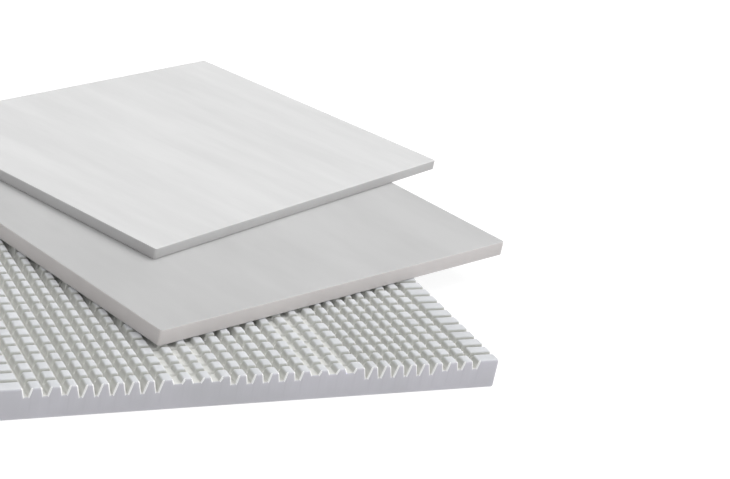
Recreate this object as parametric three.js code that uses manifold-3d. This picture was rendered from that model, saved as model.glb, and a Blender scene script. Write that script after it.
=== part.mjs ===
// A foam mattress shown as its three foam layers, fanned out on top of each other.
// Millimetres, +Z up. The origin is the middle of the base layer's underside.

import * as THREE from 'three';
import { mergeVertices } from 'three/addons/utils/BufferGeometryUtils.js';
import Module from 'manifold-3d';

// Driving dimensions shared by the layers.
const LENGTH = 2000;
const WIDTH = 1500;
const LAYER_GAP = 0.3;

// The base layer: a thick block whose top is cut into rows of small blocks.
const BASE_THICK = 120;
const BASE_CORNER_RADIUS = 12;

// Lengthwise zones of cross slots, from the middle zone outwards. Each outer zone is mirrored.
// lead is the distance from the last slot of the zone before it to its own first slot.
const MIDDLE_ZONE = { slots: 5, pitch: 64, top: 30, floor: 16, depth: 35 };
const OUTER_ZONES = [
  { slots: 3, lead: 70, pitch: 73, top: 43, floor: 26, depth: 18 },
  { slots: 6, lead: 74, pitch: 56, top: 30, floor: 7, depth: 47 },
  { slots: 3, lead: 59, pitch: 67.5, top: 30, floor: 14, depth: 34 },
];

// Even grooves that run the whole length and part the ribs into blocks.
const GROOVE = { count: 23, pitch: 62.5, top: 16, depth: 28 };

// The two plain layers: thickness, sideways shift of the middle, and turn seen from above.
const MIDDLE_LAYER = { thick: 66, x: 358, y: 532, turn: 19.6 };
const TOP_LAYER = { thick: 47, x: 400, y: 1187, turn: 27.1 };
const SHEET_CORNER_RADIUS = 8;
const SHEET_EDGE_ROUND = 2;

// Cutting bodies run this far past the faces that they leave alone.
const OVERRUN = 10;
const ARC_STEPS = 6;

const { Manifold, Mesh } = await loadManifold();

async function loadManifold() {
  const kernel = await Module();
  kernel.setup();
  return kernel;
}

// Geometry helpers.

function toManifold(geometry) {
  const plain = geometry.clone();
  plain.deleteAttribute('normal');
  plain.deleteAttribute('uv');
  const merged = mergeVertices(plain);
  return new Manifold(new Mesh({
    numProp: 3,
    vertProperties: new Float32Array(merged.attributes.position.array),
    triVerts: new Uint32Array(merged.index.array),
  }));
}

function toGeometry(solid) {
  const mesh = solid.getMesh();
  const geometry = new THREE.BufferGeometry();
  geometry.setAttribute('position', new THREE.BufferAttribute(mesh.vertProperties, 3));
  geometry.setIndex(new THREE.BufferAttribute(mesh.triVerts, 1));
  geometry.computeVertexNormals();
  return geometry;
}

function roundedRectangle(length, width, radius) {
  const x = length / 2;
  const y = width / 2;
  const shape = new THREE.Shape();
  shape.moveTo(-x + radius, -y);
  shape.lineTo(x - radius, -y);
  shape.absarc(x - radius, -y + radius, radius, -Math.PI / 2, 0);
  shape.lineTo(x, y - radius);
  shape.absarc(x - radius, y - radius, radius, 0, Math.PI / 2);
  shape.lineTo(-x + radius, y);
  shape.absarc(-x + radius, y - radius, radius, Math.PI / 2, Math.PI);
  shape.lineTo(-x, -y + radius);
  shape.absarc(-x + radius, -y + radius, radius, Math.PI, 1.5 * Math.PI);
  return shape;
}

// Slot tables. A slot is its centre on the cut's axis, its width at the top and floor, and its depth.

function crossSlots() {
  const { slots: count, pitch } = MIDDLE_ZONE;
  const middle = Array.from({ length: count }, (_, i) => {
    return { ...MIDDLE_ZONE, at: (i - (count - 1) / 2) * pitch };
  });
  const outer = [];
  let at = ((count - 1) / 2) * pitch;
  for (const zone of OUTER_ZONES) {
    for (let i = 0; i < zone.slots; i++) {
      at += i === 0 ? zone.lead : zone.pitch;
      outer.push({ ...zone, at });
    }
  }
  const mirrored = outer.map((slot) => ({ ...slot, at: -slot.at })).reverse();
  return [...mirrored, ...middle, ...outer];
}

function lengthGrooves() {
  return Array.from({ length: GROOVE.count }, (_, i) => {
    return { ...GROOVE, floor: 0, at: (i - (GROOVE.count - 1) / 2) * GROOVE.pitch };
  });
}

// The outline of a block seen end on, with the slots cut down from its top.
// The walls of the slots are carried on at their own slope to a top that is raised by lift.
function slottedProfile(span, slots, lift) {
  const top = BASE_THICK + lift;
  const points = [new THREE.Vector2(-span / 2, -OVERRUN), new THREE.Vector2(-span / 2, top)];
  for (const slot of slots) {
    const bottom = BASE_THICK - slot.depth;
    const spread = ((slot.top - slot.floor) / 2) * (1 + lift / slot.depth);
    const half = slot.floor / 2;
    points.push(new THREE.Vector2(slot.at - half - spread, top));
    points.push(new THREE.Vector2(slot.at - half, bottom));
    if (slot.floor > 0) {
      points.push(new THREE.Vector2(slot.at + half, bottom));
    }
    points.push(new THREE.Vector2(slot.at + half + spread, top));
  }
  points.push(new THREE.Vector2(span / 2, top), new THREE.Vector2(span / 2, -OVERRUN));
  return new THREE.Shape(points);
}

// A profile drawn along the given axis and pushed through the block across it.
function prism(profile, depth, across) {
  const geometry = new THREE.ExtrudeGeometry(profile, { depth, bevelEnabled: false });
  geometry.translate(0, 0, -depth / 2);
  const up = new THREE.Vector3(0, 0, 1);
  const along = new THREE.Vector3().crossVectors(up, across);
  geometry.applyMatrix4(new THREE.Matrix4().makeBasis(along, up, across));
  return toManifold(geometry);
}

// The layers.

function baseLayer() {
  const ribs = prism(
    slottedProfile(LENGTH + 2 * OVERRUN, crossSlots(), 0),
    WIDTH + 2 * OVERRUN,
    new THREE.Vector3(0, -1, 0),
  );
  const rows = prism(
    slottedProfile(WIDTH + 2 * OVERRUN, lengthGrooves(), OVERRUN / 2),
    LENGTH + 2 * OVERRUN,
    new THREE.Vector3(1, 0, 0),
  );
  const outline = new THREE.ExtrudeGeometry(
    roundedRectangle(LENGTH, WIDTH, BASE_CORNER_RADIUS),
    { depth: BASE_THICK + OVERRUN, bevelEnabled: false, curveSegments: ARC_STEPS },
  );
  return toGeometry(toManifold(outline).intersect(ribs).intersect(rows));
}

function sheetLayer(thick) {
  const inner = roundedRectangle(
    LENGTH - 2 * SHEET_EDGE_ROUND,
    WIDTH - 2 * SHEET_EDGE_ROUND,
    SHEET_CORNER_RADIUS,
  );
  const geometry = new THREE.ExtrudeGeometry(inner, {
    depth: thick - 2 * SHEET_EDGE_ROUND,
    bevelThickness: SHEET_EDGE_ROUND,
    bevelSize: SHEET_EDGE_ROUND,
    bevelSegments: 2,
    curveSegments: ARC_STEPS,
  });
  geometry.translate(0, 0, SHEET_EDGE_ROUND);
  return toGeometry(toManifold(geometry));
}

function foam(colour) {
  return new THREE.MeshStandardMaterial({ color: colour, roughness: 0.95, metalness: 0 });
}

function placed(name, geometry, material, { x = 0, y = 0, z = 0, turn = 0 }) {
  const mesh = new THREE.Mesh(geometry, material);
  mesh.name = name;
  mesh.position.set(x, y, z);
  mesh.rotation.z = THREE.MathUtils.degToRad(turn);
  return mesh;
}

const middleHeight = BASE_THICK + LAYER_GAP;
const topHeight = middleHeight + MIDDLE_LAYER.thick + LAYER_GAP;

const mattress = new THREE.Group();
mattress.name = 'mattress';
mattress.add(
  placed('base_layer', baseLayer(), foam(0xdcdfe3), {}),
  placed('middle_layer', sheetLayer(MIDDLE_LAYER.thick), foam(0xd2d0cf), {
    ...MIDDLE_LAYER,
    z: middleHeight,
  }),
  placed('top_layer', sheetLayer(TOP_LAYER.thick), foam(0xe6e6e8), { ...TOP_LAYER, z: topHeight }),
);

export default mattress;
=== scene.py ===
# %% [markdown]
# # A foam mattress, fanned out in its three layers
# This mattress is three pieces of foam, shown without a cover. The thick base has its top cut into
# rows of small blocks, so that it gives more in some places than in others. A plain sheet and a
# thinner one lie on it. Here the two sheets are turned aside, so that all three can be seen.
#
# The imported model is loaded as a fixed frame, and the layers' heights are read from it. Their other
# sizes, places and turns repeat the model's own numbers, apart from the grooves of the base, which are
# plain V cuts in the model and get a flat floor here. Each layer is then made again, with the softness
# and the finish that the plain solids don't have.

# %% Load the frame and note its box
import math

import bmesh
import bpy
import numpy as np
from mathutils import Matrix, Vector


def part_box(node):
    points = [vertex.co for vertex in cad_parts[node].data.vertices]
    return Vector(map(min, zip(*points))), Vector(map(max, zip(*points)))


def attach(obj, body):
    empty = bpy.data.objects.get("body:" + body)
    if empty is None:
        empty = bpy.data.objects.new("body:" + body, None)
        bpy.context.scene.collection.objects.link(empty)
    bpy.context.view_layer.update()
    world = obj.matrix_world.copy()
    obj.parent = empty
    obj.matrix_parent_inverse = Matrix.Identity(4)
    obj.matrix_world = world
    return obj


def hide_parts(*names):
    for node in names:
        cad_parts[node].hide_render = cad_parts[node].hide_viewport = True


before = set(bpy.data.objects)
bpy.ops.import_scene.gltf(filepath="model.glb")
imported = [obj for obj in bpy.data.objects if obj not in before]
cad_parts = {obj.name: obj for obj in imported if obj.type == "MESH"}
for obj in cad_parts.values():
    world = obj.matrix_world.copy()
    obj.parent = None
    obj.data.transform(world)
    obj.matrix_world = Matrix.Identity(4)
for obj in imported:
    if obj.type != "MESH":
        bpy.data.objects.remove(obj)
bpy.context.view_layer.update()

MM = 0.001
print("nodes:", ", ".join(sorted(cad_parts)))

# %% [markdown]
# ## Camera
# The camera comes first, so that every piece can be judged from the start in the right view. It looks
# along the layers from the front left, fairly low, and is rolled a little, which makes the upright
# edges lean. Three turns give that view: the heading, the tilt down and the roll. They, the place and
# the lens length were fitted together to the edges and corners of the layers in the photograph.

# %% Camera
CAMERA_PLACE = Vector((-2.652, -5.576, 2.991))
CAMERA_HEADING = math.radians(31.32)
CAMERA_TILT_DOWN = math.radians(22.50)
CAMERA_ROLL = math.radians(11.95)
IMAGE_WIDTH_PX = 730
FOCAL_PX = 1713

camera_data = bpy.data.cameras.new("camera")
camera_data.sensor_width = 36
camera_data.lens = FOCAL_PX * camera_data.sensor_width / IMAGE_WIDTH_PX
camera = bpy.data.objects.new("camera", camera_data)
bpy.context.scene.collection.objects.link(camera)
camera.matrix_world = (
    Matrix.Translation(CAMERA_PLACE)
    @ Matrix.Rotation(-CAMERA_HEADING, 4, "Z")
    @ Matrix.Rotation(math.pi / 2 - CAMERA_TILT_DOWN, 4, "X")
    @ Matrix.Rotation(CAMERA_ROLL, 4, "Z")
)
bpy.context.scene.camera = camera
print("lens in mm:", round(camera_data.lens, 1))

# %% [markdown]
# ## Helpers
# Operators act on whatever is selected, and the loaded solids start out selected. So each step first
# clears the selection, and edges or faces are then picked in code by where they are.

# %% Helpers for selecting and finishing
def select_only(piece):
    if bpy.context.mode != "OBJECT":
        bpy.ops.object.mode_set(mode="OBJECT")
    bpy.ops.object.select_all(action="DESELECT")
    piece.select_set(True)
    bpy.context.view_layer.objects.active = piece


def start_editing(piece, kind):
    """Opens the piece in edit mode with nothing selected; kind is EDGE or FACE."""
    select_only(piece)
    bpy.ops.object.mode_set(mode="EDIT")
    bpy.ops.mesh.select_mode(type=kind)
    bpy.ops.mesh.select_all(action="DESELECT")
    return bmesh.from_edit_mesh(piece.data)


def select_where(piece, elements, test):
    """Selects the edges or faces that pass the test, and counts them."""
    count = 0
    for element in elements:
        wanted = test(element)
        element.select_set(wanted)
        count += wanted
    bmesh.update_edit_mesh(piece.data)
    return count


def apply_modifier(piece, kind, **settings):
    select_only(piece)
    modifier = piece.modifiers.new(kind.lower(), kind)
    for name, value in settings.items():
        setattr(modifier, name, value)
    bpy.ops.object.modifier_apply(modifier=modifier.name)


def triangles(piece):
    return sum(len(face.vertices) - 2 for face in piece.data.polygons)


# %% [markdown]
# ## The base layer's cuts
# On the real block, a hot wire or a blade makes the cuts in two passes. The first pass drives it across
# the width along a zigzag line, which leaves slots. The middle of the bed has one kind of slot, and
# each zone further out has its own width and depth: wide and shallow, then deep and narrow, then
# medium at the ends. The second pass cuts even grooves along the whole length.
#
# A zone is a short table. "pitch" is the distance from slot to slot, "lead" the distance from the last
# slot of the zone before, and "top" and "floor" are a slot's widths at its top and at its floor.

# %% Slot tables, in millimetres
LAYER_LENGTH = 2000
LAYER_WIDTH = 1500
MIDDLE_ZONE = {"slots": 5, "pitch": 64, "top": 30, "floor": 16, "depth": 35}
OUTER_ZONES = [
    {"slots": 3, "lead": 70, "pitch": 73, "top": 43, "floor": 26, "depth": 18},
    {"slots": 6, "lead": 74, "pitch": 56, "top": 30, "floor": 7, "depth": 47},
    {"slots": 3, "lead": 59, "pitch": 67.5, "top": 30, "floor": 14, "depth": 34},
]
GROOVES = {"slots": 23, "pitch": 62.5, "top": 20.5, "floor": 10, "depth": 25}


def row_of_cuts(zone):
    """Even cuts about the middle of the block, each as (place, zone)."""
    half = (zone["slots"] - 1) / 2
    return [((i - half) * zone["pitch"], zone) for i in range(zone["slots"])]


def cross_slots():
    """The middle zone, with the outer zones on both sides of it, mirrored."""
    middle = row_of_cuts(MIDDLE_ZONE)
    outer = []
    at = middle[-1][0]
    for zone in OUTER_ZONES:
        for i in range(zone["slots"]):
            at += zone["pitch"] if i else zone["lead"]
            outer.append((at, zone))
    return [(-at, zone) for at, zone in reversed(outer)] + middle + outer


print("slots:", len(cross_slots()), "grooves:", len(row_of_cuts(GROOVES)))

# %% [markdown]
# ## The outline of a cut
# Each cut is written down as a few stations: how far from the cut's middle, and how deep there. The
# lips are rounded, because cut foam never keeps a knife-sharp edge. One or two stations on the straight
# wall keep the faces of the walls short, so that the block's corners can be rounded further down too.

# %% Stations of one cut
SLOT_LIP_RADIUS = 7
GROOVE_LIP_RADIUS = 6
SLOT_WALL_LEVELS = (11, 19)
GROOVE_WALL_LEVELS = (12,)
CLEAR_OF_FLOOR = 4


def half_cut(zone, lip_radius, wall_levels):
    """Stations from the lip to the floor of one side of a cut: (distance from its middle, depth)."""
    run = (zone["top"] - zone["floor"]) / 2
    wall = math.atan2(zone["depth"], run)
    lip_start = zone["top"] / 2 + lip_radius * math.tan(wall / 2)
    lip = [
        (lip_start - lip_radius * math.sin(turn), lip_radius * (1 - math.cos(turn)))
        for turn in (0, wall / 2, wall)
    ]
    levels = [level for level in wall_levels if level < zone["depth"] - CLEAR_OF_FLOOR]
    straight = [(zone["top"] / 2 - run * level / zone["depth"], level) for level in levels]
    return lip + straight + [(zone["floor"] / 2, zone["depth"])]


for away, depth in half_cut(GROOVES, GROOVE_LIP_RADIUS, GROOVE_WALL_LEVELS):
    print("groove:", round(away, 1), "mm from its middle it is", round(depth, 1), "mm deep")

# %% All stations, in both directions
SIDE_RIM_RADIUS = 5.5
END_RIM_RADIUS = 8
PLAN_CORNER_RADIUS = 12
RIM_TURNS = (0, math.pi / 6, math.pi / 3, math.pi / 2)


def end_of_block(span, rim_radius):
    """Stations of the rounded edge where the block ends: (place, depth, how far the rim is set in)."""
    rim = [
        (span / 2 - rim_radius * (1 - math.cos(turn)), 0, rim_radius * (1 - math.sin(turn)))
        for turn in RIM_TURNS
    ]
    if rim_radius < PLAN_CORNER_RADIUS:
        rim.append((span / 2 - PLAN_CORNER_RADIUS, 0, 0))
    return rim


def stations(span, cuts, lip_radius, wall_levels, rim_radius):
    """All stations along one direction, from one end of the block to the other."""
    end = end_of_block(span, rim_radius)
    line = [(-at, depth, inset) for at, depth, inset in end]
    for middle, zone in cuts:
        side = half_cut(zone, lip_radius, wall_levels)
        line += [(middle - away, depth, 0) for away, depth in side]
        line += [(middle + away, depth, 0) for away, depth in reversed(side)]
    line += reversed(end)
    return np.array(line)


along = stations(LAYER_LENGTH, cross_slots(), SLOT_LIP_RADIUS, SLOT_WALL_LEVELS, END_RIM_RADIUS)
across = stations(
    LAYER_WIDTH, row_of_cuts(GROOVES), GROOVE_LIP_RADIUS, GROOVE_WALL_LEVELS, SIDE_RIM_RADIUS
)
print("stations:", len(along), "by", len(across))
assert (np.diff(along[:, 0]) > 0).all() and (np.diff(across[:, 0]) > 0).all()

# %% [markdown]
# ## The base layer's shape
# Two ways fit this block. A Boolean of two ribbed prisms copies the two passes exactly, but leaves
# knife-sharp corners that are hard to soften. A net of lines laid over the top, with one line at each
# station, can be pressed down to the depth of the cuts and stays soft everywhere, so that way is used.
# Where a slot crosses a groove, the deeper of the two wins. Where they are about as deep, the net goes
# a little deeper still, which rounds the upright corners of the blocks as on foam. At the two ends of
# the bed, where the grooves run out, they flare a little.

# %% Lay the net over the block's top and press the cuts into it
CORNER_BLEND = 20
END_FLARE = 6
# Where nothing is cut, this keeps the blend from dividing by zero.
LEAST_REACH = 0.001


def deeper_with_soft_corners(slot_depth, groove_depth):
    """The deeper of the two, and a little more where they differ by less than CORNER_BLEND."""
    reach = np.minimum(CORNER_BLEND, slot_depth + groove_depth)
    closeness = np.maximum(reach - np.abs(slot_depth - groove_depth), 0)
    extra = closeness**2 / (4 * np.maximum(reach, LEAST_REACH))
    return np.maximum(slot_depth, groove_depth) + extra


def into_the_foam(line):
    """At each station, the direction that leads straight into the foam: (sideways, down)."""
    steps = np.diff(line[:, :2], axis=0)
    normals = np.stack([-steps[:, 1], steps[:, 0]], axis=1)
    normals /= np.linalg.norm(normals, axis=1)[:, None]
    joined = np.concatenate([normals[:1], normals[:-1] + normals[1:], normals[-1:]])
    return joined / np.linalg.norm(joined, axis=1)[:, None]


def press_cuts(piece):
    """Moves the points of the flat net to the stations, down by the depth and in by the rim."""
    coords = np.empty(len(piece.data.vertices) * 3)
    piece.data.vertices.foreach_get("co", coords)
    net = coords.reshape(len(across), len(along), 3)
    end_inset, side_inset = along[None, :, 2], across[:, None, 2]
    slot_inwards, groove_inwards = into_the_foam(along), into_the_foam(across)
    depth = deeper_with_soft_corners(along[None, :, 1], across[:, None, 1])
    down = slot_inwards[None, :, 1] * side_inset + groove_inwards[:, None, 1] * end_inset
    end_spread = END_FLARE * end_inset / END_RIM_RADIUS
    net[:, :, 0] = (along[None, :, 0] + slot_inwards[None, :, 0] * side_inset) * MM
    net[:, :, 1] = (across[:, None, 0] + groove_inwards[:, None, 0] * end_spread) * MM
    net[:, :, 2] = base_top - (depth + down) * MM
    piece.data.vertices.foreach_set("co", net.ravel())
    piece.data.update()


base_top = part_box("base_layer")[1].z
bpy.ops.object.select_all(action="DESELECT")
bpy.ops.mesh.primitive_grid_add(
    x_subdivisions=len(along) - 1,
    y_subdivisions=len(across) - 1,
    size=1,
    location=(0, 0, 0),
)
base = bpy.context.object
base.name = "foam_base"
press_cuts(base)
lowest = min(vertex.co.z for vertex in base.data.vertices)
print("net:", len(base.data.polygons), "faces, lowest point at", round(lowest / MM, 1), "mm")

# %% [markdown]
# The net now has the blocks, but it is only a skin. The corners of its plan are rounded by sliding the
# points near them on to an arc. Its rim is then drawn down to the floor and flattened there, the
# underside is closed with one face, and the lower edge is bevelled.

# %% Give the net its sides and underside
HALF_LENGTH = LAYER_LENGTH / 2 * MM
HALF_WIDTH = LAYER_WIDTH / 2 * MM


def round_plan_corners(mesh, radius):
    """Slides the points in each square corner of the plan on to the arc that rounds it."""
    for vertex in mesh.verts:
        across_x = abs(vertex.co.x) - (HALF_LENGTH - radius)
        across_y = abs(vertex.co.y) - (HALF_WIDTH - radius)
        if across_x > 0 and across_y > 0:
            shrink = max(across_x, across_y) / math.hypot(across_x, across_y)
            vertex.co.x = math.copysign(HALF_LENGTH - radius + across_x * shrink, vertex.co.x)
            vertex.co.y = math.copysign(HALF_WIDTH - radius + across_y * shrink, vertex.co.y)


mesh = start_editing(base, "EDGE")
round_plan_corners(mesh, PLAN_CORNER_RADIUS * MM)
rim = select_where(base, mesh.edges, lambda edge: edge.is_boundary)
bpy.ops.mesh.extrude_region_move(TRANSFORM_OT_translate={"value": (0, 0, -base_top / 2)})
bpy.ops.transform.resize(value=(1, 1, 0), center_override=(0, 0, 0))
bpy.ops.mesh.edge_face_add()
bpy.ops.mesh.select_all(action="SELECT")
bpy.ops.mesh.normals_make_consistent(inside=False)
bpy.ops.object.mode_set(mode="OBJECT")
print("rim edges:", rim, "triangles:", triangles(base))

# %% Soften the lower edge
LOWER_EDGE = 3 * MM


def borders_underside(edge):
    """The underside is the only face with more than four corners."""
    return any(len(face.verts) > 4 for face in edge.link_faces)


mesh = start_editing(base, "EDGE")
lower = select_where(base, mesh.edges, borders_underside)
bpy.ops.mesh.bevel(offset=LOWER_EDGE, segments=2, affect="EDGES", clamp_overlap=False)
bpy.ops.object.mode_set(mode="OBJECT")
print("lower edges:", lower, "triangles:", triangles(base))

# %% [markdown]
# No two blocks are cut quite alike. A broad, shallow displacement lowers some of them by a millimetre
# or two and leans others. It raises none by more than a tenth of a millimetre, so the sheet on top
# still clears them. A texture as grey as the middle level leaves a point where it is.

# %% Make the blocks a little uneven
BLOCK_UNEVENNESS = 2.0 * MM
BLOCK_PATCH_SIZE = 0.07
BLOCK_MIDDLE_LEVEL = 0.95
BELOW_CUTS = base_top / 3


def cloud_texture(name, size):
    texture = bpy.data.textures.new(name, "CLOUDS")
    texture.noise_scale = size
    texture.noise_depth = 1
    return texture


def weight_points(piece, name, test):
    """Makes a vertex group of the points that pass the test."""
    group = piece.vertex_groups.new(name=name)
    chosen = [vertex.index for vertex in piece.data.vertices if test(vertex)]
    group.add(chosen, 1.0, "REPLACE")
    return group.name


apply_modifier(
    base,
    "DISPLACE",
    texture=cloud_texture("uneven blocks", BLOCK_PATCH_SIZE),
    vertex_group=weight_points(base, "cut top", lambda vertex: vertex.co.z > BELOW_CUTS),
    direction="Z",
    strength=BLOCK_UNEVENNESS,
    mid_level=BLOCK_MIDDLE_LEVEL,
)
print("base now reaches", round(max(v.co.z for v in base.data.vertices) / MM, 2), "mm")

# %% [markdown]
# ## The two plain sheets
# A sheet is sawn from a big block, so its faces are flat and its edges are square, with only a small
# softness. It is made as by hand: a fine grid is drawn up to the sheet's thickness, and its four
# upright corners and its rims are bevelled. Very small waves are pressed into the upper face, because
# a long blade wanders a little in foam. The face that lies on the layer below stays flat.

# %% A square block, with its corners and rims softened
SHEET_GRID = (100, 75)
SHEET_CORNER_RADIUS = 9 * MM
SHEET_RIM = 3 * MM
# A face is upright where its normal's z is below the first of these, and level above the second.
UPRIGHT = 0.1
LEVEL = 0.9


def sawn_block(name, thick):
    """A grid as large as a layer, drawn up to its thickness."""
    bpy.ops.object.select_all(action="DESELECT")
    bpy.ops.mesh.primitive_grid_add(
        x_subdivisions=SHEET_GRID[0], y_subdivisions=SHEET_GRID[1], size=1, location=(0, 0, 0)
    )
    sheet = bpy.context.object
    sheet.name = name
    start_editing(sheet, "FACE")
    bpy.ops.mesh.select_all(action="SELECT")
    bpy.ops.transform.resize(
        value=(2 * HALF_LENGTH, 2 * HALF_WIDTH, 1), center_override=(0, 0, 0)
    )
    bpy.ops.mesh.extrude_region_move(TRANSFORM_OT_translate={"value": (0, 0, thick)})
    bpy.ops.mesh.select_all(action="SELECT")
    bpy.ops.mesh.normals_make_consistent(inside=False)
    return sheet


def is_upright_corner(edge):
    return all(
        abs(abs(point.co.x) - HALF_LENGTH) < MM and abs(abs(point.co.y) - HALF_WIDTH) < MM
        for point in edge.verts
    )


def is_sheet_rim(edge):
    """An edge between an upright face and a level one."""
    if len(edge.link_faces) != 2:
        return False
    tilts = sorted(abs(face.normal.z) for face in edge.link_faces)
    return tilts[0] < UPRIGHT and tilts[1] > LEVEL


def soften_sheet(sheet):
    mesh = start_editing(sheet, "EDGE")
    select_where(sheet, mesh.edges, is_upright_corner)
    bpy.ops.mesh.bevel(offset=SHEET_CORNER_RADIUS, segments=4, affect="EDGES")
    mesh = start_editing(sheet, "EDGE")
    select_where(sheet, mesh.edges, is_sheet_rim)
    bpy.ops.mesh.bevel(offset=SHEET_RIM, segments=3, affect="EDGES")
    bpy.ops.object.mode_set(mode="OBJECT")


# %% [markdown]
# The block is then turned and moved in edit mode, so that its object stays at the origin. Blender run
# without a window turns the other way there, so the angle is given with a minus sign, and the sheets
# end up turned counter-clockwise, seen from above.

# %% Waves in the upper face, and the sheet's place
FACE_WAVE = 1.6 * MM
FACE_WAVE_SIZE = 0.45
FACE_WAVE_MIDDLE_LEVEL = 0.75
TOP_SKIN = 0.1 * MM


def wave_upper_face(sheet, thick):
    apply_modifier(
        sheet,
        "DISPLACE",
        texture=cloud_texture(sheet.name + "_face_wave", FACE_WAVE_SIZE),
        vertex_group=weight_points(sheet, "upper_face", lambda v: v.co.z > thick - TOP_SKIN),
        direction="Z",
        strength=FACE_WAVE,
        mid_level=FACE_WAVE_MIDDLE_LEVEL,
    )


def turn_and_place(sheet, turn_degrees, place):
    start_editing(sheet, "FACE")
    bpy.ops.mesh.select_all(action="SELECT")
    bpy.ops.transform.rotate(
        value=-math.radians(turn_degrees), orient_axis="Z", center_override=(0, 0, 0)
    )
    bpy.ops.transform.translate(value=place)
    bpy.ops.object.mode_set(mode="OBJECT")


def foam_sheet(name, node, shift, turn_degrees):
    low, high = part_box(node)
    thick = high.z - low.z
    sheet = sawn_block(name, thick)
    soften_sheet(sheet)
    wave_upper_face(sheet, thick)
    turn_and_place(sheet, turn_degrees, (shift[0] * MM, shift[1] * MM, low.z))
    print(name, "thickness in mm:", round(thick / MM, 1), "triangles:", triangles(sheet))
    return sheet


# %% Place the two sheets where the solids are
MIDDLE_SHIFT = (358, 532)
MIDDLE_TURN = 19.6
TOP_SHIFT = (400, 1187)
TOP_TURN = 27.1

middle = foam_sheet("foam_middle", "middle_layer", MIDDLE_SHIFT, MIDDLE_TURN)
top = foam_sheet("foam_top", "top_layer", TOP_SHIFT, TOP_TURN)

for piece, node in ((base, "base_layer"), (middle, "middle_layer"), (top, "top_layer")):
    points = np.array([vertex.co[:] for vertex in piece.data.vertices])
    solid_low, solid_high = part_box(node)
    low_by = np.round((points.min(axis=0) - np.array(solid_low)) / MM, 1)
    high_by = np.round((points.max(axis=0) - np.array(solid_high)) / MM, 1)
    print(piece.name, "low", low_by, "high", high_by, "mm from its solid")

# %% [markdown]
# ## Foam's surface
# Cut foam is a field of tiny open cells, one or two millimetres wide. From a step away they blur to a
# matte surface with a slight mottle. Two scales of texture give that: fine cells that only bump the
# surface, and a broad mottle that shifts the colour a little. All foams here share them, so they are
# one node group, with its own sizes for each foam. On the sheets the mottle is drawn out across their
# width into faint streaks, as a long blade leaves them.

# %% The shared foam texture
FOAM_CELLS_PER_METRE = 500
TEXTURE_INPUTS = {
    "Cells per Metre": FOAM_CELLS_PER_METRE,
    "Patches per Metre": 6.0,
    "Streak Length": 1.0,
    "Streak Turn": 0.0,
}


def set_inputs(node, values):
    for name, value in values.items():
        node.inputs[name].default_value = value
    return node


def foam_texture_group():
    group = bpy.data.node_groups.new("foam cells", "ShaderNodeTree")
    for name, value in TEXTURE_INPUTS.items():
        socket = group.interface.new_socket(name, in_out="INPUT", socket_type="NodeSocketFloat")
        socket.default_value = value
    for name in ("Mottle", "Cell Height"):
        group.interface.new_socket(name, in_out="OUTPUT", socket_type="NodeSocketFloat")
    nodes = group.nodes
    given = nodes.new("NodeGroupInput")
    result = nodes.new("NodeGroupOutput")
    place = nodes.new("ShaderNodeTexCoord")

    cells = set_inputs(nodes.new("ShaderNodeTexVoronoi"), {"Randomness": 1.0})
    grain = set_inputs(nodes.new("ShaderNodeTexNoise"), {"Detail": 3.0})
    height = nodes.new("ShaderNodeMath")
    height.operation = "ADD"
    patches = set_inputs(nodes.new("ShaderNodeTexNoise"), {"Detail": 4.0, "Roughness": 0.6})
    along_blade = nodes.new("ShaderNodeMapping")
    along_blade.vector_type = "TEXTURE"
    turn = nodes.new("ShaderNodeCombineXYZ")
    stretch = set_inputs(nodes.new("ShaderNodeCombineXYZ"), {"X": 1.0, "Z": 1.0})
    for start, end in (
        (place.outputs["Object"], cells.inputs["Vector"]),
        (place.outputs["Object"], grain.inputs["Vector"]),
        (given.outputs["Cells per Metre"], cells.inputs["Scale"]),
        (given.outputs["Cells per Metre"], grain.inputs["Scale"]),
        (cells.outputs["Distance"], height.inputs[0]),
        (grain.outputs["Fac"], height.inputs[1]),
        (height.outputs["Value"], result.inputs["Cell Height"]),
        (given.outputs["Streak Turn"], turn.inputs["Z"]),
        (given.outputs["Streak Length"], stretch.inputs["Y"]),
        (turn.outputs["Vector"], along_blade.inputs["Rotation"]),
        (stretch.outputs["Vector"], along_blade.inputs["Scale"]),
        (place.outputs["Object"], along_blade.inputs["Vector"]),
        (along_blade.outputs["Vector"], patches.inputs["Vector"]),
        (given.outputs["Patches per Metre"], patches.inputs["Scale"]),
        (patches.outputs["Fac"], result.inputs["Mottle"]),
    ):
        group.links.new(start, end)
    return group


FOAM_TEXTURE = foam_texture_group()
print("foam texture:", len(FOAM_TEXTURE.nodes), "nodes,", len(FOAM_TEXTURE.links), "links")

# %% [markdown]
# ## One material for each cut of foam
# Each material is one matte shader. The mottle goes over from a darker to a lighter shade of the same
# foam, and the cells drive the bump. Light also sinks into the open cells and comes out again a
# centimetre or two away, which keeps the shadows in the cuts soft.
#
# The base's blocks change colour with depth, as painted shade and light: their tops are a cool grey,
# their walls get a darker, warmer painted shade just below the lip, and a paler painted bounce light
# toward the floor of the cuts. These further colours are laid over the first, each blended in between
# two depths.

# %% Colours, and the painted shading by depth
def linear(hex_colour):
    """A colour picked from a screen, turned into the linear values that shaders use."""
    values = [int(hex_colour[i : i + 2], 16) / 255 for i in (0, 2, 4)]
    return [v / 12.92 if v <= 0.04045 else ((v + 0.055) / 1.055) ** 2.4 for v in values] + [1]


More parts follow.
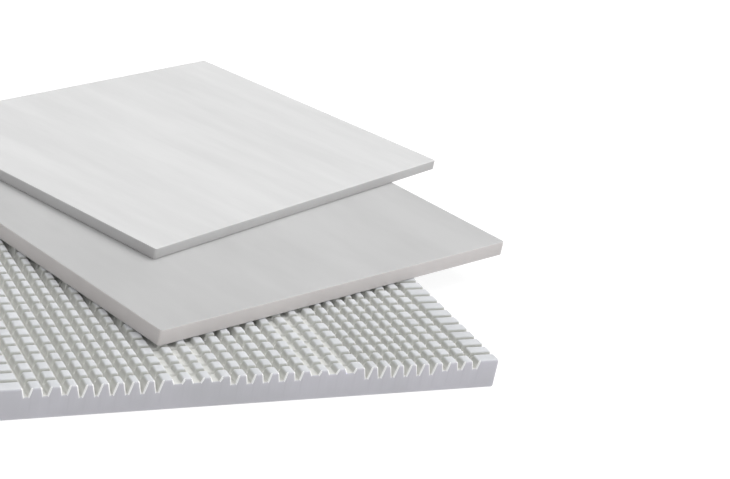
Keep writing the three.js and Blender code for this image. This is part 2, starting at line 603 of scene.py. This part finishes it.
def painted_shading_below(nodes, links, colour, other, start, end):
    """Goes over from one colour to a painted shading colour between two depths under the block's top.
    """
    place = nodes.new("ShaderNodeTexCoord")
    split = nodes.new("ShaderNodeSeparateXYZ")
    fade = nodes.new("ShaderNodeMapRange")
    fade.inputs["From Min"].default_value = base_top - start * MM
    fade.inputs["From Max"].default_value = base_top - end * MM
    mix = nodes.new("ShaderNodeMix")
    mix.data_type = "RGBA"
    mix.inputs["B"].default_value = linear(other)
    links.new(place.outputs["Object"], split.inputs["Vector"])
    links.new(split.outputs["Z"], fade.inputs["Value"])
    links.new(fade.outputs["Result"], mix.inputs["Factor"])
    links.new(colour, mix.inputs["A"])
    return mix.outputs["Result"]


# %% The foam material
FOAM_CELL_DEPTH = 0.6 * MM
FOAM_CELL_STRENGTH = 0.5
FOAM_ROUGHNESS = 0.95
FOAM_SHINE = 0.2
LIGHT_THROUGH_FOAM = 0.6
LIGHT_REACH = 20 * MM
MOTTLE_RANGE = (0.35, 0.65)


def foam_material(name, light, dark, patches=2.5, streaks=1, turn=0, depths=()):
    material = bpy.data.materials.new(name)
    material.use_nodes = True
    nodes, links = material.node_tree.nodes, material.node_tree.links
    shader = nodes["Principled BSDF"]
    set_inputs(
        shader,
        {
            "Roughness": FOAM_ROUGHNESS,
            "Specular IOR Level": FOAM_SHINE,
            "Subsurface Weight": LIGHT_THROUGH_FOAM,
            "Subsurface Radius": (1, 1, 1),
            "Subsurface Scale": LIGHT_REACH,
        },
    )
    texture = nodes.new("ShaderNodeGroup")
    texture.node_tree = FOAM_TEXTURE
    set_inputs(
        texture,
        {
            "Cells per Metre": FOAM_CELLS_PER_METRE,
            "Patches per Metre": patches,
            "Streak Length": streaks,
            "Streak Turn": math.radians(turn),
        },
    )
    ramp = nodes.new("ShaderNodeValToRGB")
    for stop, mottle, shade in zip(ramp.color_ramp.elements, MOTTLE_RANGE, (dark, light)):
        stop.position = mottle
        stop.color = linear(shade)
    bump = nodes.new("ShaderNodeBump")
    set_inputs(bump, {"Strength": FOAM_CELL_STRENGTH, "Distance": FOAM_CELL_DEPTH})
    links.new(texture.outputs["Mottle"], ramp.inputs["Fac"])
    colour = ramp.outputs["Color"]
    # The painted shade and painted bounce light of the cuts go over the mottle, one depth after the
    # other.
    for other, start, end in depths:
        colour = painted_shading_below(nodes, links, colour, other, start, end)
    links.new(colour, shader.inputs["Base Color"])
    links.new(texture.outputs["Cell Height"], bump.inputs["Height"])
    links.new(bump.outputs["Normal"], shader.inputs["Normal"])
    return material


# %% The finishes, with a lighter and a darker shade for each
# Painted shade just below the lip of the cuts, then paler painted bounce light toward their floor.
CUT_PAINTED_SHADING = (("C6C7C3", 2, 7), ("DEDEDB", 13, 26))

FACE_TOP = foam_material(
    "top sheet face", "D6D6D6", "CFCFCF", patches=7, streaks=6, turn=TOP_TURN
)
# Painted shade: the top sheet's grey, made darker for its cut sides.
EDGE_TOP_PAINTED_SHADE = foam_material("top sheet cut edge painted shade", "C4C4C4", "BEBDBD")
FACE_MIDDLE = foam_material(
    "middle sheet face", "C0C0C0", "B7B7B7", patches=2.5, streaks=3, turn=MIDDLE_TURN
)
# A warm tint of the foam's own, made lighter than the face as painted light on the sides.
EDGE_MIDDLE_TINT_PAINTED_LIGHT = foam_material("middle sheet cut edge tint painted light", "D3CFCE", "CCC8C7")
FACE_BASE = foam_material("base blocks", "D2D4D7", "C9CBCE", patches=8, depths=CUT_PAINTED_SHADING)
# A lavender tint of the foam's own, a little darker than the tops as painted shade on the sides.
EDGE_BASE_TINT_PAINTED_SHADE = foam_material("base cut side tint painted shade", "CDCCD3", "C3C3C8", patches=1.6)
# Painted highlight: the rim where the slots run out is near white.
RIM_BASE_PAINTED_HIGHLIGHT = foam_material("base cut rim painted highlight", "FFFFFF", "F8F8F8")
for finish in (FACE_TOP, EDGE_TOP_PAINTED_SHADE, FACE_MIDDLE, EDGE_MIDDLE_TINT_PAINTED_LIGHT, FACE_BASE, EDGE_BASE_TINT_PAINTED_SHADE, RIM_BASE_PAINTED_HIGHLIGHT):
    print("finish:", finish.name, "with", len(finish.node_tree.nodes), "nodes")

# %% [markdown]
# ## Where each finish goes
# A cut side gets its own material. Its brightness is painted: painted shade on the sides of the top
# sheet and the base, painted light on those of the middle sheet, while the middle sheet's sides also
# keep a warm tint and the base's a lavender one of their own. The narrow rim where the slots of the
# base run out at its front and back gets a painted highlight in near white. So every piece first gets
# one material all over, and then others on faces picked by where they are and where they point.

# %% Helpers for giving a finish to some of the faces
def give_faces(piece, material, test):
    piece.data.materials.append(material)
    index = len(piece.data.materials) - 1
    for face in piece.data.polygons:
        if test(face):
            face.material_index = index


def every_face(face):
    return True


def count_finishes(piece):
    counts = np.bincount([face.material_index for face in piece.data.polygons])
    for material, count in zip(piece.data.materials, counts):
        print(piece.name, "has", count, "faces with the finish", material.name)


# %% Finish the sheets
SIDE_TILT = 0.5


def is_side(face):
    return abs(face.normal.z) < SIDE_TILT


# The sides get the cut edge materials, with their painted shade and painted light.
for piece, face_material, edge_material in (
    (middle, FACE_MIDDLE, EDGE_MIDDLE_TINT_PAINTED_LIGHT),
    (top, FACE_TOP, EDGE_TOP_PAINTED_SHADE),
):
    give_faces(piece, face_material, every_face)
    give_faces(piece, edge_material, is_side)
    count_finishes(piece)

# %% Finish the base
NEAR_SIDE = (LAYER_WIDTH / 2 - SIDE_RIM_RADIUS) * MM
# How far a face's normal points along the bed in a slot, and out of the side on a plain rim.
SLANTED = 0.2
OUTWARDS = 0.6


def is_near_side(face):
    return abs(face.center.y) > NEAR_SIDE


# The faces of the slot rims, which get the painted highlight.
def is_highlighted_slot_rim(face):
    return is_near_side(face) and abs(face.normal.x) > SLANTED


def is_plain_rim(face):
    leans_outwards = abs(face.normal.y) > OUTWARDS
    return is_near_side(face) and abs(face.normal.x) <= SLANTED and leans_outwards


def is_outer_side(face):
    lowest_point = min(base.data.vertices[i].co.z for i in face.vertices)
    return lowest_point < BELOW_CUTS and abs(face.normal.z) < LEVEL


give_faces(base, FACE_BASE, every_face)
# The slot rims get the painted highlight.
give_faces(base, RIM_BASE_PAINTED_HIGHLIGHT, is_highlighted_slot_rim)
# The plain rims and outer sides get the base's side material, with its painted shade.
give_faces(base, EDGE_BASE_TINT_PAINTED_SHADE, lambda face: is_plain_rim(face) or is_outer_side(face))
count_finishes(base)

# %% [markdown]
# ## Shading, and a place in the frame
# The faces of the lips and bevels should read as round, and the flat faces as flat, so only edges that
# turn by less than the given angle are smoothed. Then each piece is tied to the frame's one body and
# takes the place of its solid.

# %% Shade and place the pieces in the frame
SMOOTHED_BELOW = math.radians(40)

for piece, node, slot in (
    (base, "base_layer", "base_foam"),
    (middle, "middle_layer", "middle_foam"),
    (top, "top_layer", "top_foam"),
):
    select_only(piece)
    bpy.ops.object.shade_smooth_by_angle(angle=SMOOTHED_BELOW)
    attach(piece, "root")
    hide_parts(node)
    print(piece.name, "stands for", node)

# %% [markdown]
# ## Floor and light
# The object is shown as in a product picture, on plain white with only a faint shadow. The floor glows
# a little, which keeps it white, and it is kept out of the light that bounces, because its glow would
# make the base's cut sides uneven.
#
# A wide lamp stands above, to the right and a little behind, and shapes the blocks. The sky is brighter
# toward the front, so that the cut sides aren't dark, and slightly brighter to the right.

# %% Floor
FLOOR_SIZE = 60
FLOOR_DROP = 0.5 * MM
FLOOR_GREY = 0.3
FLOOR_GLOW = 0.82

bpy.ops.object.select_all(action="DESELECT")
bpy.ops.mesh.primitive_plane_add(size=FLOOR_SIZE, location=(0, 0, -FLOOR_DROP))
floor = bpy.context.object
floor.name = "floor"
floor.visible_diffuse = False
floor_material = bpy.data.materials.new("pale floor")
floor_material.use_nodes = True
set_inputs(
    floor_material.node_tree.nodes["Principled BSDF"],
    {
        "Base Color": (FLOOR_GREY, FLOOR_GREY, FLOOR_GREY, 1),
        "Roughness": 0.9,
        "Emission Color": (1, 1, 1, 1),
        "Emission Strength": FLOOR_GLOW,
    },
)
floor.data.materials.append(floor_material)
print("floor:", FLOOR_SIZE, "m wide, glow", FLOOR_GLOW)

# %% Sky
SKY_STRENGTH = 0.66
SKY_LEAN = Vector((0.14, -0.34, 0))

world = bpy.data.worlds.new("soft sky")
world.use_nodes = True
sky_nodes, sky_links = world.node_tree.nodes, world.node_tree.links
background = set_inputs(sky_nodes["Background"], {"Color": (1, 1, 1, 1)})
direction = sky_nodes.new("ShaderNodeTexCoord")
lean = sky_nodes.new("ShaderNodeVectorMath")
lean.operation = "DOT_PRODUCT"
lean.inputs[1].default_value = SKY_LEAN
brightness = sky_nodes.new("ShaderNodeMath")
brightness.inputs[1].default_value = SKY_STRENGTH
sky_links.new(direction.outputs["Generated"], lean.inputs[0])
sky_links.new(lean.outputs["Value"], brightness.inputs[0])
sky_links.new(brightness.outputs["Value"], background.inputs["Strength"])
bpy.context.scene.world = world
bpy.context.scene.view_settings.view_transform = "Standard"
print("sky goes from", round(SKY_STRENGTH - SKY_LEAN.length, 2),
      "to", round(SKY_STRENGTH + SKY_LEAN.length, 2))

# %% Lamp
LAMP_ENERGY = 1.75
LAMP_SPREAD = math.radians(50)
LAMP_TURN = (math.radians(-12), math.radians(30), 0)

lamp_data = bpy.data.lights.new("soft lamp", "SUN")
lamp_data.energy = LAMP_ENERGY
lamp_data.angle = LAMP_SPREAD
lamp = bpy.data.objects.new("soft lamp", lamp_data)
bpy.context.scene.collection.objects.link(lamp)
lamp.rotation_euler = LAMP_TURN
towards_lamp = lamp.rotation_euler.to_matrix() @ Vector((0, 0, 1))
print("lamp stands towards", [round(x, 2) for x in towards_lamp])
